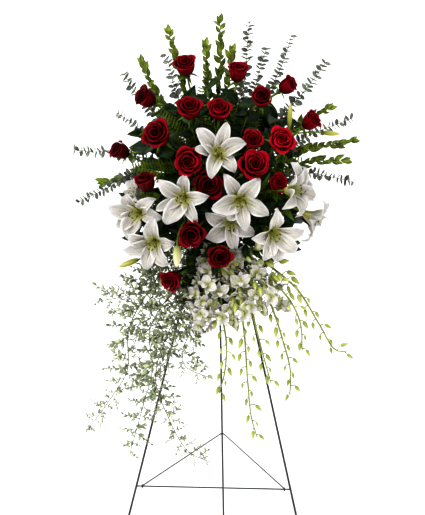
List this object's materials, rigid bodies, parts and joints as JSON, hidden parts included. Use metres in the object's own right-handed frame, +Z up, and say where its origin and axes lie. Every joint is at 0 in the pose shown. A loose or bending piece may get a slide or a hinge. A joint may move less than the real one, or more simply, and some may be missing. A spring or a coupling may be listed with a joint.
{
  "type": "standing funeral spray",
  "caption": "Standing funeral spray of red roses, white lilies, orchid sprays and mixed greens, set in a block of floral foam hung on a folding wire easel.",
  "frame": {"origin": "on the floor, at the middle of the whole object's box seen from above", "axes": "+Z up; the spray faces -Y, so a viewer in front looks along +Y; +X to that viewer's right"},
  "size_m": [0.7684, 0.65, 1.603],
  "materials": {
    "wire": "dark green enamel on steel wire, half gloss",
    "tray": "dark green moulded plastic, satin",
    "foam": "soaked open-cell floral foam, matt and crumbly",
    "rose_petal": "velvety crimson petal, darker in the heart",
    "lily_petal": "white waxy petal with a pale green midrib",
    "flower_stem": "fresh yellow-green stem, satin",
    "orchid": "white petals and yellow-green buds on a green stem",
    "eucalyptus_leaf": "grey-green leaf with a powdery bloom",
    "ruscus_leaf": "glossy mid-green leaf",
    "vine_leaf": "matt grey-green leaf",
    "broad_leaf": "glossy dark green leaf"
  },
  "bodies": {
    "frame": {"front_leg_left": "wire", "front_leg_right": "wire", "top_bar": "wire", "crossbar": "wire", "foam_tray": "tray", "floral_foam": "foam", "rose_01": "rose_petal", "rose_02": "rose_petal", "rose_03": "rose_petal", "rose_04": "rose_petal", "rose_05": "rose_petal", "rose_06": "rose_petal", "rose_07": "rose_petal", "rose_08": "rose_petal", "rose_09": "rose_petal", "rose_10": "rose_petal", "rose_11": "rose_petal", "rose_12": "rose_petal", "rose_13": "rose_petal", "rose_14": "rose_petal", "rose_15": "rose_petal", "rose_16": "rose_petal", "rose_17": "rose_petal", "rose_18": "rose_petal", "rose_19": "rose_petal", "rose_20": "rose_petal", "lily_01": "lily_petal", "lily_02": "lily_petal", "lily_03": "lily_petal", "lily_04": "lily_petal", "lily_05": "lily_petal", "lily_06": "lily_petal", "lily_07": "lily_petal", "lily_08": "lily_petal", "lily_09": "lily_petal", "lily_10": "lily_petal", "flower_stems_top": "flower_stem", "flower_stems_left": "flower_stem", "flower_stems_right": "flower_stem", "flower_stems_middle": "flower_stem", "flower_stems_low_left": "flower_stem", "flower_stems_low_right": "flower_stem", "orchid_sprays_right": "orchid", "orchid_sprays_middle": "orchid", "orchid_sprays_front": "orchid", "eucalyptus_left": "eucalyptus_leaf", "eucalyptus_top": "eucalyptus_leaf", "eucalyptus_right": "eucalyptus_leaf", "ruscus_left": "ruscus_leaf", "ruscus_top": "ruscus_leaf", "ruscus_right": "ruscus_leaf", "vines_left": "vine_leaf", "vines_front": "vine_leaf", "broad_leaves_left": "broad_leaf", "broad_leaves_top": "broad_leaf", "broad_leaves_right": "broad_leaf", "broad_leaves_low": "broad_leaf"},
    "rear_leg": {"rear_leg": "wire"},
    "brace": {"brace_left": "wire", "brace_right": "wire"}
  },
  "joints": [
    {"name": "rear_leg_fold", "type": "hinge", "parent": "frame", "child": "rear_leg", "pos_m": [-0.0039, -0.01001, 1.14], "axis": [-1, 0, 0], "range_deg": [0, 28]},
    {"name": "brace_fold", "type": "hinge", "parent": "frame", "child": "brace", "pos_m": [-0.0039, -0.22512, 0.354], "axis": [1, 0, 0], "range_deg": [0, 70]}
  ],
  "couplings": [
    {"joint": "brace_fold", "follows": "rear_leg_fold", "ratio": 2.5}
  ]
}
